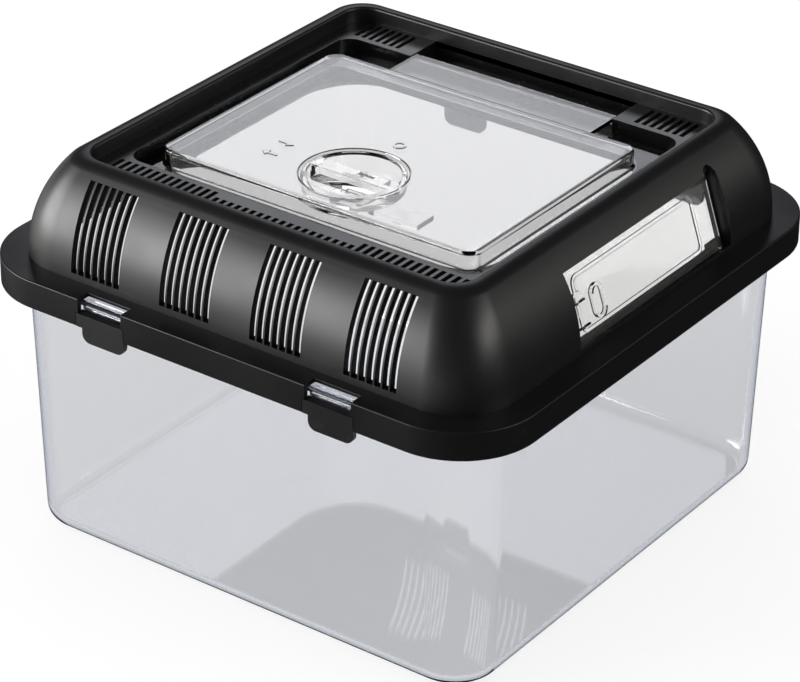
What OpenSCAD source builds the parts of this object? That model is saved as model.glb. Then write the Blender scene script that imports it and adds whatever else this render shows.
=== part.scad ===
// Clear pet keeper with a lift-off vented hood, a lockable top door and a side feeding hatch.
// Millimetres. The origin is the middle of the tank's underside, +Z is up, the vented front faces -Y
// and the feeding hatch faces +X.

/* [Show] */
// sub-part to draw, or all of them

/* [Tank] */
// width and depth of the tank at the floor
tank_floor_w = 181.2; // [170:0.2:192]
// how far each wall leans out between the floor and the flange
tank_lean = 2.7; // [1:0.1:4]
// height of the tank to the top of its flange, where the lid rests
tank_h = 99.3; // [80:0.1:130]
// wall and floor thickness
tank_wall = 2; // [1.4:0.1:2.6]
// outer corner radius at the floor
tank_corner_r = 16; // [12:0.5:20]
// rounding between the floor and the walls
tank_foot_r = 5.5; // [4:0.1:7]
// thickness of the flange around the mouth
tank_flange_t = 2; // [1.4:0.1:2.6]

/* [Rim] */
// how far the rim's outer face stands out from the top of the tank wall
rim_reach = 9.2; // [8:0.1:11]
// height of the skirt that hangs outside the flange
skirt_h = 10; // [8:0.1:12]
// skirt thickness
skirt_t = 1.8; // [1.4:0.1:2.4]
// thickness of the flat rim that rests on the flange
rim_t = 1.7; // [1.4:0.1:2.4]
// outer corner radius of the rim
rim_corner_r = 28; // [24:0.5:32]
// rounding along the top outer edge of the rim
rim_edge_r = 1; // [0.5:0.1:1.3]
// gap between the flange's edge and the skirt
flange_gap = 0.9; // [0.5:0.1:1.3]

/* [Hood] */
// width of the flat rim between the skirt face and the foot of the hood
rim_ledge = 9; // [8:0.1:11]
// height of the hood above the rim
hood_rise = 34.43; // [32:0.1:36]
// radius of the large curve of the hood's sides
hood_curve_r = 47.45; // [45:0.05:50]
// radius of the rounded crest around the top
crest_r = 6.63; // [6:0.01:7.2]
// corner radius of the hood at its foot
hood_corner_r = 21.5; // [19:0.5:24]
// wall thickness of the hood
hood_wall = 2; // [1.4:0.1:2.4]
// how far the inner face of the crest lies in from the foot of the hood
crest_in = 18.7; // [18:0.1:19.4]
// corner radius of the inner face of the crest
crest_corner_r = 8.4; // [6:0.1:11]

/* [Deck and well] */
// depth of the vented deck below the crest
deck_drop = 5.43; // [4.5:0.01:6.5]
// deck thickness
deck_t = 2; // [1.4:0.1:2.4]
// width of the deck beside the door well
deck_side_w = 5.8; // [4:0.1:7]
// width of the deck in front of and behind the door well
deck_end_w = 15.2; // [14.6:0.1:16.5]
// corner radius of the door well
well_r = 6; // [4:0.1:8]
// depth of the well from the deck to the ledge under the door
well_depth = 5.5; // [5:0.1:6.5]
// wall thickness of the well, the ledge and the collar
well_wall = 1.6; // [1.2:0.1:2]
// width of the ledge at the sides
ledge_side_w = 5; // [4.2:0.1:6]
// width of the ledge at the front
ledge_front_w = 7.6; // [7:0.1:8.4]
// width of the ledge at the back
ledge_back_w = 10.2; // [8.5:0.1:11]
// corner radius of the opening
mouth_r = 14; // [10:0.5:18]
// how far the collar hangs below the top of the ledge
collar_h = 4.9; // [4:0.1:6]
// width of the gap in the front of the collar for the lock
collar_gap_w = 48; // [44:0.5:56]

/* [Vents] */
// width of one slot in the front and back
slot_w = 2.3; // [1.6:0.05:2.35]
// distance from slot to slot on the front and back
slot_pitch = 2.93; // [2.8:0.01:3.2]
// slots in one group
slot_count = 7; // [3:1:8]
// distance of the inner groups from the middle
group_inner_x = 18.05; // [16:0.05:20]
// distance of the outer groups from the middle
group_outer_x = 54.45; // [52:0.05:56]
// foot of the slots above the rim
slot_foot = 2.4; // [2:0.1:5]
// height of the slots
slot_h = 28.6; // [20:0.1:29]
// width of one slot in the deck
deck_slot_w = 1.75; // [1.2:0.05:2]
// distance of the deck's slots from the inner face of the crest
deck_slot_in = 1.5; // [1:0.1:2]
// distance from slot to slot on the front deck
deck_slot_pitch = 2.965; // [2.7:0.005:3]
// slots across the front deck
deck_slots = 47; // [31:2:47]
// short slots in the middle of the front deck
short_slots = 19; // [11:2:21]
// length of the long deck slots
deck_slot_l = 11.8; // [8:0.1:12]
// length of the short deck slots
short_slot_l = 8.8; // [6:0.1:10]
// length of the back deck's slots
back_slot_l = 11.4; // [8:0.1:11.6]
// distance of the back deck's two slot groups from the middle
back_group_x = 57.85; // [57:0.05:58.5]

/* [Top door] */
// setback of the panel's side edges from the sides of the well
panel_side_in = 6.5; // [6.5:0.1:9]
// setback of the panel's front edge from the front of the well
panel_front_in = 8.6; // [8:0.1:10]
// setback of the panel's back edge from the back of the well
panel_back_in = 16; // [15.5:0.1:18]
// height of the panel's top above the deck
panel_up = 2; // [1.5:0.1:3]
// sheet thickness of the door
door_t = 1.8; // [1.4:0.1:2.2]
// thickness of the flange around the door
door_flange_t = 1.5; // [1.2:0.1:2]
// corner radius of the panel
panel_r = 5; // [4:0.1:6]
// corner radius of the door's flange
door_flange_r = 5; // [4:0.1:7]
// clearance between the door's flange and the side walls of the well
door_side_gap = 1; // [0.5:0.1:2]
// clearance between the door's flange and the front wall of the well
door_front_gap = 2.6; // [1:0.1:3]
// clearance between the door's flange and the back wall of the well
door_back_gap = 5.1; // [4:0.1:6]
// width of the hinge tab
hinge_tab_w = 82; // [60:0.5:84]
// thickness of the hinge tab
hinge_tab_t = 1.5; // [1.2:0.1:1.6]
// side clearance of the hinge tab in its notch
hinge_side_gap = 0.4; // [0.3:0.05:0.8]
// radius of the hinge pins
door_pin_r = 1; // [0.7:0.05:1]
// radius of the round edge that carries the pins
door_barrel_r = 1.6; // [1.3:0.05:1.7]
// how far the hinge line lies behind the well's back wall
hinge_back = 2.9; // [2.5:0.1:4]
// depth of the hinge line below the deck
hinge_down = 1.8; // [1.8:0.05:2.2]

/* [Lock] */
// sideways position of the knob
knob_x = -0.5; // [-3:0.5:3]
// distance of the knob's axis from the panel's front edge
knob_in = 23.3; // [22:0.1:25]
// radius of the knob's top rim
knob_r = 18.1; // [17:0.1:19]
// width of the rim around the finger wells
knob_rim_w = 1.6; // [1.4:0.1:2.4]
// thickness of the rim that rests in the panel
knob_rim_t = 1; // [0.7:0.05:1.1]
// depth of the finger wells
knob_well_d = 5.4; // [4.5:0.1:5.6]
// width of the grip bar
grip_w = 6.5; // [5:0.1:9]
// thickness under the finger wells
knob_floor_t = 1.6; // [1.2:0.1:1.8]
// how far the lock's tongue reaches under the front ledge
tongue_bite = 4; // [3:0.1:5]
// width of the tongue
tongue_w = 9; // [7:0.1:12]
// thickness of the tongue
tongue_t = 1.8; // [1.4:0.1:2.2]
// radius of the cam's hub
cam_hub_r = 8; // [7:0.1:10]
// width of the square peg that joins the knob to the cam
peg_w = 6; // [4:0.1:6.5]

/* [Side hatch] */
// lean of the hatch from upright
hatch_lean = 18.7; // [16:0.1:21]
// setback of the hatch's foot from the foot of the hood
hatch_inset = 1.4; // [1:0.1:2.2]
// height of the hatch's foot above the rim
hatch_foot = 1.3; // [1.2:0.1:2]
// front end of the recess
recess_y0 = -36.4; // [-40:0.1:-34]
// length of the recess
recess_l = 88.8; // [84:0.1:90]
// height of the recess along the lean
recess_h = 26.2; // [24:0.1:26.6]
// thickness of the walls around the recess
recess_wall = 1.8; // [1.4:0.1:2.2]
// hatch sheet thickness
hatch_t = 1.6; // [1.2:0.1:1.8]
// clearance around and behind the hatch
hatch_gap = 0.4; // [0.3:0.05:0.6]
// clearance between the free end of the hatch and the recess
hatch_end_gap = 1.6; // [1:0.1:2]
// distance from the hatch's hinge line to the back end of the recess
hatch_hinge_in = 3.4; // [2.6:0.1:4]
// radius of the hatch's hinge pins
hatch_pin_r = 0.75; // [0.6:0.05:0.8]
// length of the hatch's hinge pins
hatch_pin_l = 1.5; // [1.2:0.1:1.6]
// how far the upper hinge pin shows in its round pocket
hatch_pin_up = 1.1; // [0.6:0.1:1.4]
// radius of the round pocket at the upper hinge pin
pocket_r = 2.8; // [2.4:0.1:3.2]
// width of the lip around the opening behind the hatch
recess_lip = 1.9; // [1.5:0.1:2.5]
// width of the raised bead
bead_w = 1.2; // [0.8:0.1:2]
// height of the raised bead
bead_h = 0.6; // [0.3:0.1:1]
// distance of the bead from the free end and the long edges of the hatch
bead_in = 3; // [2.6:0.1:4]
// corner radius of the bead
bead_r = 3; // [2:0.1:4]
// distance of the bead from the hinge line
bead_hinge_in = 10.7; // [10:0.1:14]
// length of the slits that free the snap tongue
snap_l = 8.4; // [7:0.1:9]
// distance of the snap tongue from the hatch's foot
snap_foot = 5.2; // [5:0.1:6]
// width of the snap tongue
snap_w = 7.6; // [6:0.1:8]
// distance of the pull from the free end
pull_in = 10.4; // [9.6:0.1:12]
// width of the pull
pull_w = 6.5; // [5:0.1:8]
// distance of the pull from the hatch's foot
pull_foot = 4.8; // [4.6:0.1:8]
// length of the pull along the free end
pull_l = 11.5; // [9:0.1:13]
// how far the pull stands out
pull_h = 1.4; // [0.8:0.1:2.5]

/* [Latches] */
// distance of each latch from the middle
latch_x = 45.3; // [40:0.1:47]
// width of the latch
latch_w = 19.3; // [17:0.1:20]
// height of the band of skirt that the latch takes up
latch_band_h = 4.7; // [4:0.1:5]
// how far the finger tab hangs below the skirt
tab_drop = 6; // [4:0.1:9]
// setback of the finger tab from the skirt face
tab_setback = 1.5; // [1.2:0.1:1.6]
// thickness of the finger tab
tab_t = 1.8; // [1.4:0.1:2.2]
// setback of the finger tab's sides from the sides of the latch
tab_in = 1; // [0.4:0.1:1.6]
// corner radius of the finger tab
tab_r = 3; // [1.5:0.1:4]
// how far the hook reaches in from the skirt face
hook_reach = 4; // [3.6:0.1:4.2]
// thickness of the hook
hook_t = 1.5; // [1:0.1:2]
// width of the catch on the tank
catch_w = 16.8; // [14:0.1:17]
// clearance beside the catch
catch_side_gap = 0.35; // [0.3:0.05:0.6]
// depth of the catch, front to back
catch_l = 3.1; // [2.9:0.1:3.3]
// setback of the catch's face from the skirt face
catch_setback = 2; // [1.8:0.1:2.4]
// height of the catch
catch_h = 3.5; // [2.9:0.1:3.5]
// how far the catch rises above the flange
catch_up = 0.8; // [0.5:0.1:1]
// clearance around the latch
latch_gap = 0.12; // [0.1:0.01:0.3]

/* [Fits] */
// radial clearance of hinge pins in their sockets
pin_gap = 0.06; // [0.03:0.01:0.09]
// gap between turning round faces
turn_gap = 0.3; // [0.3:0.05:0.5]
// gap between sliding or swinging flat faces
flat_gap = 0.3; // [0.2:0.05:0.4]

/* [Hidden] */
$fn = 96;
clear_plastic = [0.84, 0.87, 0.90, 0.35];
black_plastic = [0.05, 0.05, 0.055];
// lets the two curves of the hood cross, where they would else only touch
crest_out = 0.02;

// tank
tank_half = tank_floor_w / 2;
lean = tank_lean / (tank_h - tank_flange_t);
tank_top_half = tank_half + tank_lean;
tank_corner_c = tank_half - tank_corner_r;

// rim and skirt
rim_half = tank_top_half + rim_reach;
rim_top = tank_h + rim_t;
rim_corner_c = rim_half - rim_corner_r;
skirt_foot = rim_top - skirt_h;
flange_half = rim_half - skirt_t - flange_gap;

// hood
hood_half = rim_half - rim_ledge;
hood_corner_c = hood_half - hood_corner_r;
hood_top = rim_top + hood_rise;
curve_x = hood_half - hood_curve_r;
curve_z = rim_top + 0.25;
crest_z = hood_top - crest_r;
crest_x = curve_x + sqrt(pow(hood_curve_r - crest_r + crest_out, 2) - pow(crest_z - curve_z, 2));
crest_turn = atan2(crest_z - curve_z, crest_x - curve_x);
meet_z = curve_z + hood_curve_r * sin(crest_turn);
ring_half = hood_half - crest_in;

// deck, well and mouth
deck_z = hood_top - deck_drop;
well_x = ring_half - deck_side_w;
well_y = ring_half - deck_end_w;
ledge_z = deck_z - well_depth;
mouth_x = well_x - ledge_side_w;
mouth_y0 = -well_y + ledge_front_w;
mouth_y1 = well_y - ledge_back_w;
notch_half = hinge_tab_w / 2 + hinge_side_gap;

// top door
panel_x = well_x - panel_side_in;
panel_y0 = -well_y + panel_front_in;
panel_y1 = well_y - panel_back_in;
panel_z = deck_z + panel_up;
door_flange_x = well_x - door_side_gap;
door_flange_y0 = -well_y + door_front_gap;
door_flange_y1 = well_y - door_back_gap;
hinge_y = well_y + hinge_back;
hinge_z = deck_z - hinge_down;
door_pin_end = notch_half + well_wall - flat_gap;
// height of the marks on the panel and radius of the small ring
mark_h = 0.35;
mark_r = 2.25;
// distance of the ring and of the arrows from the knob's edge
mark_gap = 6.7;
mark_side = 12.3;
// how far the arrows lie behind and in front of the knob's axis
arrow_back = 4;
arrow_front = 5;

// lock
knob_y = panel_y0 + knob_in;
cup_r = knob_r - knob_rim_w + 0.5;
cup_z = panel_z - knob_well_d - knob_floor_t;
tongue_z = ledge_z - well_wall - flat_gap - tongue_t;
tongue_reach = knob_y - mouth_y0 + tongue_bite;

// side hatch, in a frame that leans with it: x out of the sheet, z up the sheet
hatch_x = hood_half - hatch_inset;
hatch_z = rim_top + hatch_foot;
recess_z0 = -hatch_gap;
recess_y1 = recess_y0 + recess_l;
hatch_h = recess_h - 2 * hatch_gap;
hatch_y0 = recess_y0 + hatch_end_gap;
hatch_pin_y = recess_y1 - hatch_hinge_in;
hatch_floor = -hatch_t - hatch_gap;
recess_top = recess_z0 + recess_h;
snap_mid = snap_foot + snap_w / 2;
slit_w = 0.6;
snap_reach = 0.6;
tooth_w = 5;
pull_wall = 1;
stop_w = 3;
stop_h = 1;
boss_foot_h = 3.4;
boss_top_h = 3;

// latches
skirt_y = -rim_half;
catch_y = skirt_y + catch_setback;
catch_back = catch_y + catch_l;
window_w = catch_w + 2 * catch_side_gap;
catch_top = tank_h + catch_up;
band_top = skirt_foot + latch_band_h;

// a profile of (distance outside the corner centres, height) carried round a rounded square
module around_square(c) {
    for (k = [0:3]) {
        rotate([0, 0, 90 * k]) {
            translate([c, c, 0])
                rotate_extrude(angle = 90)
                    children();
            translate([c, c, 0])
                rotate([90, 0, 0])
                    linear_extrude(height = 2 * c)
                        children();
        }
    }
}

module round_rect(x0, x1, y0, y1, r) {
    translate([x0 + r, y0])
        square([x1 - x0 - 2 * r, y1 - y0]);
    translate([x0, y0 + r])
        square([x1 - x0, y1 - y0 - 2 * r]);
    for (x = [x0 + r, x1 - r]) {
        for (y = [y0 + r, y1 - r]) {
            translate([x, y])
                circle(r);
        }
    }
}

module round_plate(x0, x1, y0, y1, r, z0, z1) {
    translate([0, 0, z0])
        linear_extrude(height = z1 - z0)
            round_rect(x0, x1, y0, y1, r);
}

module box(x0, x1, y0, y1, z0, z1) {
    translate([x0, y0, z0])
        cube([x1 - x0, y1 - y0, z1 - z0]);
}

// tank section: a wall that leans out, rounded into the floor
module tank_side(half, z0, foot_r) {
    turn = atan(lean);
    foot_x = half + lean * (z0 + foot_r) - foot_r / cos(turn);
    meet_x = foot_x + foot_r * cos(turn);
    meet = z0 + foot_r * (1 - sin(turn));
    top_x = half + lean * tank_h;
    c = tank_corner_c;
    polygon([
        [0, z0], [foot_x - c, z0], [meet_x - c, meet], [top_x - c, tank_h], [0, tank_h]
    ]);
    translate([foot_x - c, z0 + foot_r])
        circle(foot_r);
}

module tank_section() {
    difference() {
        union() {
            intersection() {
                tank_side(tank_half, 0, tank_foot_r);
                square([rim_half, tank_h]);
            }
            translate([0, tank_h - tank_flange_t])
                square([flange_half - tank_corner_c, tank_flange_t]);
        }
        intersection() {
            tank_side(tank_half - tank_wall, tank_wall, tank_foot_r - tank_wall);
            square([rim_half, tank_h]);
        }
        translate([0, tank_h - 0.01])
            square([tank_half - tank_wall - tank_corner_c + lean * tank_h, 1]);
    }
}

module tank_catch() {
    box(latch_x - catch_w / 2, latch_x + catch_w / 2, catch_y, catch_back, catch_top - catch_h, catch_top);
}

module tank() {
    c = tank_corner_c;
    color(clear_plastic) {
        around_square(c)
            tank_section();
        box(-c, c, -c, c, 0, tank_wall);
        for (turn = [0, 180]) {
            rotate([0, 0, turn]) {
                tank_catch();
                mirror([1, 0, 0])
                    tank_catch();
            }
        }
    }
}

// region below the hood's outer line, set in by t
module hood_region(t) {
    c = hood_corner_c;
    intersection() {
        translate([curve_x - c, curve_z])
            circle(hood_curve_r - t);
        translate([0, tank_h])
            square([hood_half, meet_z - tank_h]);
    }
    intersection() {
        translate([crest_x - c, crest_z])
            circle(crest_r - t);
        translate([0, tank_h])
            square([hood_half, hood_rise + rim_t + 1]);
    }
    translate([0, tank_h])
        square([crest_x - c, crest_z + crest_r - t - tank_h]);
}

module hood_shell() {
    difference() {
        around_square(hood_corner_c)
            difference() {
                hood_region(0);
                hood_region(hood_wall);
            }
        round_plate(
            -ring_half, ring_half, -ring_half, ring_half, crest_corner_r, deck_z - deck_t, hood_top + 1
        );
    }
}

module hood_solid() {
    around_square(hood_corner_c)
        hood_region(0);
}

module rim_section() {
    x = rim_half - rim_corner_c;
    translate([x - skirt_t, skirt_foot])
        square([skirt_t, skirt_h - rim_edge_r]);
    translate([x - skirt_t, rim_top - rim_t])
        square([skirt_t - rim_edge_r, rim_t]);
    translate([x - rim_edge_r, rim_top - rim_edge_r])
        circle(rim_edge_r);
}

module rim() {
    out = rim_half - skirt_t / 2 - rim_edge_r / 2;
    inner = hood_half - hood_wall;
    around_square(rim_corner_c)
        rim_section();
    difference() {
        round_plate(-out, out, -out, out, out - rim_corner_c, tank_h, rim_top);
        round_plate(
            -inner, inner, -inner, inner, inner - hood_corner_c, tank_h - 1, rim_top + 1
        );
    }
}

module crest_wall() {
    out = ring_half + well_wall;
    difference() {
        round_plate(
            -out, out, -out, out, crest_corner_r + well_wall, deck_z - deck_t, hood_top - hood_wall / 2
        );
        round_plate(
            -ring_half, ring_half, -ring_half, ring_half, crest_corner_r, deck_z - deck_t - 1, hood_top
        );
    }
}

module deck() {
    edge = ring_half + well_wall / 2;
    w = well_wall;
    difference() {
        union() {
            round_plate(-edge, edge, -edge, edge, crest_corner_r, deck_z - deck_t, deck_z);
            round_plate(-well_x - w, well_x + w, -well_y - w, well_y + w, well_r + w, ledge_z - w, deck_z);
            box(-notch_half - w, notch_half + w, 0, ring_half + w, ledge_z - w, deck_z);
            round_plate(
                -mouth_x - w, mouth_x + w, mouth_y0 - w, mouth_y1 + w, mouth_r + w,
                ledge_z - collar_h, ledge_z
            );
        }
        round_plate(-well_x, well_x, -well_y, well_y, well_r, ledge_z, deck_z + 1);
        box(-notch_half, notch_half, 0, ring_half, ledge_z, deck_z + 1);
        round_plate(
            -mouth_x, mouth_x, mouth_y0, mouth_y1, mouth_r, ledge_z - collar_h - 1, ledge_z + 1
        );
        // gap in the collar for the lock's tongue
        box(
            knob_x - collar_gap_w / 2, knob_x + collar_gap_w / 2,
            mouth_y0 - w - 1, mouth_y0 + 1, ledge_z - collar_h - 1, ledge_z - w
        );
        // sockets of the door's pins
        translate([-notch_half - w - 1, hinge_y, hinge_z])
            rotate([0, 90, 0])
                cylinder(r = door_pin_r + pin_gap, h = 2 * notch_half + 2 * w + 2);
    }
}

module deck_vents() {
    front_y = -ring_half + deck_slot_in;
    w = deck_slot_w;
    low = deck_z - deck_t - 1;
    for (i = [0:deck_slots - 1]) {
        k = i - (deck_slots - 1) / 2;
        length = abs(k) <= (short_slots - 1) / 2 ? short_slot_l : deck_slot_l;
        x = k * deck_slot_pitch;
        box(x - w / 2, x + w / 2, front_y, front_y + length, low, deck_z + 1);
    }
    for (side = [-1, 1]) {
        for (i = [0:slot_count - 1]) {
            x = side * back_group_x + (i - (slot_count - 1) / 2) * slot_pitch;
            box(x - w / 2, x + w / 2, -front_y - back_slot_l, -front_y, low, deck_z + 1);
        }
    }
}

module side_vents() {
    z0 = rim_top + slot_foot;
    reach = ring_half + well_wall + hood_wall;
    for (group = [-group_outer_x, -group_inner_x, group_inner_x, group_outer_x]) {
        for (i = [0:slot_count - 1]) {
            x = group + (i - (slot_count - 1) / 2) * slot_pitch;
            box(x - slot_w / 2, x + slot_w / 2, -rim_half, -reach, z0, z0 + slot_h);
            box(x - slot_w / 2, x + slot_w / 2, reach, rim_half, z0, z0 + slot_h);
        }
    }
}

module on_hatch() {
    translate([hatch_x, 0, hatch_z])
        rotate([0, -hatch_lean, 0])
            children();
}

// round_plate stood up in the hatch's frame: y and z along the sheet, x0 to x1 through it
module upright_plate(y0, y1, z0, z1, r, x0, x1) {
    translate([x0, 0, 0])
        rotate([90, 0, 90])
            linear_extrude(height = x1 - x0)
                round_rect(y0, y1, z0, z1, r);
}

// walls of the hatch's recess and the boss behind its pocket, inside the hood only
module recess_block() {
    w = recess_wall;
    intersection() {
        hood_solid();
        on_hatch() {
            box(
                hatch_floor - w, hood_wall + crest_r, recess_y0 - w, recess_y1 + w,
                recess_z0 - w, recess_top + w
            );
            translate([hatch_floor, hatch_pin_y, recess_top])
                rotate([0, 90, 0])
                    cylinder(r = pocket_r + w, h = hood_wall - hatch_floor);
        }
    }
}

module recess_cut() {
    lip = recess_lip;
    past = hatch_floor - recess_wall - 1;
    boss_y = hatch_pin_y - hatch_hinge_in - recess_lip;
    out = hood_wall + crest_r;
    on_hatch() {
        box(hatch_floor, out, recess_y0, recess_y1, recess_z0, recess_top);
        difference() {
            box(
                past, hatch_floor + 1, recess_y0 + lip, recess_y1 - lip,
                recess_z0 + lip, recess_top - lip
            );
            // corner bosses beside the hinge
            box(past - 1, hatch_floor + 2, boss_y, recess_y1, recess_top - boss_top_h, recess_top);
            box(past - 1, hatch_floor + 2, boss_y, recess_y1, recess_z0, recess_z0 + boss_foot_h);
        }
        // sockets of the hatch's pins
        translate([-hatch_t / 2, hatch_pin_y, recess_z0 - hatch_pin_l])
            cylinder(r = hatch_pin_r + pin_gap, h = recess_h + 2 * hatch_pin_l + hatch_pin_up);
        // round pocket that lets the upper pin snap in
        translate([-hatch_t / 2 + hatch_pin_r / 2, hatch_pin_y, recess_top])
            rotate([0, 90, 0])
                cylinder(r = pocket_r, h = out);
        // groove that the hatch's snap springs into
        box(
            -hatch_t - flat_gap, flat_gap, recess_y0 - snap_reach - flat_gap, recess_y0 + 1,
            snap_foot, snap_foot + snap_w
        );
    }
}

module latch_window() {
    box(
        latch_x - window_w / 2, latch_x + window_w / 2,
        skirt_y - 1, catch_back + latch_gap, band_top, rim_top + 1
    );
    box(
        latch_x - latch_w / 2 - latch_gap, latch_x + latch_w / 2 + latch_gap,
        skirt_y - 1, skirt_y + hook_reach + latch_gap, skirt_foot - 1, band_top + latch_gap
    );
}

module lid() {
    color(black_plastic)
        difference() {
            union() {
                rim();
                difference() {
                    hood_shell();
                    side_vents();
                }
                crest_wall();
                difference() {
                    deck();
                    deck_vents();
                }
                recess_block();
            }
            recess_cut();
            for (turn = [0, 180]) {
                rotate([0, 0, turn]) {
                    latch_window();
                    mirror([1, 0, 0])
                        latch_window();
                }
            }
        }
}

// plain arrow, raised on the panel, that shows a way to turn the knob
module arrow(x, y, way) {
    neck = 0.6 * way;
    translate([x, y, panel_z - door_t / 2])
        linear_extrude(height = door_t / 2 + mark_h)
            polygon([
                [-3 * way, -0.4], [neck, -0.4], [neck, -1.6], [3 * way, 0],
                [neck, 1.6], [neck, 0.4], [-3 * way, 0.4]
            ]);
}

module top_door() {
    flange_x = door_flange_x;
    base = ledge_z;
    t = door_t;
    tab = hinge_tab_w / 2;
    tab_z = hinge_z + door_barrel_r - hinge_tab_t;
    color(clear_plastic) {
        difference() {
            union() {
                round_plate(-panel_x, panel_x, panel_y0, panel_y1, panel_r, base, panel_z);
                round_plate(
                    -flange_x, flange_x, door_flange_y0, door_flange_y1, door_flange_r,
                    base, base + door_flange_t
                );
            }
            round_plate(
                -panel_x + t, panel_x - t, panel_y0 + t, panel_y1 - t, panel_r - t, base - 1, panel_z - t
            );
            translate([knob_x, knob_y, panel_z - t - 1])
                cylinder(r = cup_r + turn_gap, h = t + 2);
            translate([knob_x, knob_y, panel_z - knob_rim_t])
                cylinder(r = knob_r + turn_gap, h = knob_rim_t + 1);
        }
        // hinge tab with its round edge and pins
        box(-tab, tab, panel_y1 - t / 2, hinge_y, tab_z, tab_z + hinge_tab_t);
        translate([-tab, hinge_y, hinge_z])
            rotate([0, 90, 0])
                cylinder(r = door_barrel_r, h = hinge_tab_w);
        translate([-door_pin_end, hinge_y, hinge_z])
            rotate([0, 90, 0])
                cylinder(r = door_pin_r, h = 2 * door_pin_end);
        // small ring behind the knob
        translate([knob_x, knob_y + knob_r + mark_gap, panel_z - door_t / 2])
            difference() {
                cylinder(r = mark_r, h = door_t / 2 + mark_h);
                translate([0, 0, door_t / 2])
                    cylinder(r = mark_r - 0.75, h = 1);
            }
        arrow(knob_x - knob_r - mark_side, knob_y + arrow_back, 1);
        arrow(knob_x - knob_r - mark_side, knob_y - arrow_front, -1);
    }
}

module lock_knob() {
    well_r_in = knob_r - knob_rim_w;
    half = peg_w / 2;
    color(clear_plastic)
        translate([knob_x, knob_y, 0]) {
            difference() {
                union() {
                    translate([0, 0, cup_z])
                        cylinder(r = cup_r, h = panel_z - cup_z);
                    translate([0, 0, panel_z - knob_rim_t])
                        cylinder(r = knob_r, h = knob_rim_t);
                }
                difference() {
                    translate([0, 0, panel_z - knob_well_d])
                        cylinder(r = well_r_in - 1, h = knob_well_d + 1);
                    box(-knob_r, knob_r, -grip_w / 2, grip_w / 2, cup_z, panel_z + 2);
                }
            }
            box(-half, half, -half, half, tongue_z + tongue_t / 2, cup_z + knob_floor_t / 2);
        }
}

module lock_cam() {
    peg = peg_w / 2 + latch_gap;
    color(clear_plastic)
        translate([knob_x, knob_y, 0])
            difference() {
                union() {
                    translate([0, 0, tongue_z])
                        cylinder(r = cam_hub_r, h = cup_z - tongue_z);
                    box(0, tongue_reach, -tongue_w / 2, tongue_w / 2, tongue_z, tongue_z + tongue_t);
                }
                box(-peg, peg, -peg, peg, tongue_z - 1, cup_z + 1);
            }
}

module side_hatch() {
    t = hatch_t;
    back = hatch_pin_y - bead_hinge_in;
    snap_end = hatch_y0 + snap_l;
    color(clear_plastic)
        on_hatch() {
            difference() {
                union() {
                    box(-t, 0, hatch_y0, hatch_pin_y, 0, hatch_h);
                    // raised bead
                    upright_plate(
                        hatch_y0 + bead_in, back, bead_in, hatch_h - bead_in, bead_r, -t / 2, bead_h
                    );
                }
                upright_plate(
                    hatch_y0 + bead_in + bead_w, back - bead_w, bead_in + bead_w, hatch_h - bead_in - bead_w,
                    bead_r - bead_w, 0, bead_h + 1
                );
                // slits that free the snap tongue
                box(-t - 1, bead_h + 1, hatch_y0 - 1, snap_end, snap_foot - slit_w, snap_foot);
                translate([0, 0, snap_w + slit_w])
                    box(-t - 1, bead_h + 1, hatch_y0 - 1, snap_end, snap_foot - slit_w, snap_foot);
            }
            translate([-t / 2, hatch_pin_y, 0])
                cylinder(r = t / 2, h = hatch_h);
            translate([-t / 2, hatch_pin_y, recess_z0 - hatch_pin_l + flat_gap])
                cylinder(r = hatch_pin_r, h = recess_h + 2 * (hatch_pin_l - flat_gap) + hatch_pin_up);
            // snap tooth
            box(
                -t * 0.75, -t * 0.25, recess_y0 - snap_reach, hatch_y0 + 0.5,
                snap_mid - tooth_w / 2, snap_mid + tooth_w / 2
            );
            // stop block behind the snap tongue
            box(
                -t / 2, stop_h, snap_end - 2 * stop_w, snap_end - stop_w,
                snap_foot + snap_w + 2 * slit_w, snap_foot + snap_w + 2 * slit_w + stop_w
            );
            // pull: a low rounded frame to catch with a fingernail
            difference() {
                upright_plate(
                    hatch_y0 + pull_in, hatch_y0 + pull_in + pull_w, pull_foot, pull_foot + pull_l,
                    pull_w / 2 - 0.1, -t / 2, pull_h
                );
                upright_plate(
                    hatch_y0 + pull_in + pull_wall, hatch_y0 + pull_in + pull_w - pull_wall,
                    pull_foot + pull_wall, pull_foot + pull_l - pull_wall,
                    pull_w / 2 - 0.1 - pull_wall, 0, pull_h + 1
                );
            }
        }
}

// front left latch; the other three are turned or mirrored copies
module latch() {
    x0 = latch_x - latch_w / 2;
    x1 = latch_x + latch_w / 2;
    tab_y = skirt_y + tab_setback;
    color(black_plastic) {
        box(x0, x1, skirt_y, tab_y + tab_t, skirt_foot, band_top);
        box(
            latch_x - window_w / 2, latch_x + window_w / 2,
            tab_y, skirt_y + hook_reach, band_top - hook_t, band_top
        );
        translate([0, tab_y + tab_t, 0])
            rotate([90, 0, 0])
                linear_extrude(height = tab_t)
                    round_rect(x0 + tab_in, x1 - tab_in, skirt_foot - tab_drop, band_top, tab_r);
    }
}

tank();
lid();
top_door();
lock_knob();
lock_cam();
side_hatch();
mirror([1, 0, 0]) latch();  // latch_front_left
latch();  // latch_front_right
rotate([0, 0, 180]) latch();  // latch_back_left
rotate([0, 0, 180]) mirror([1, 0, 0]) latch();  // latch_back_right
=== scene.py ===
import math
import bpy
import bmesh
from mathutils import Matrix, Vector


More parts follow.
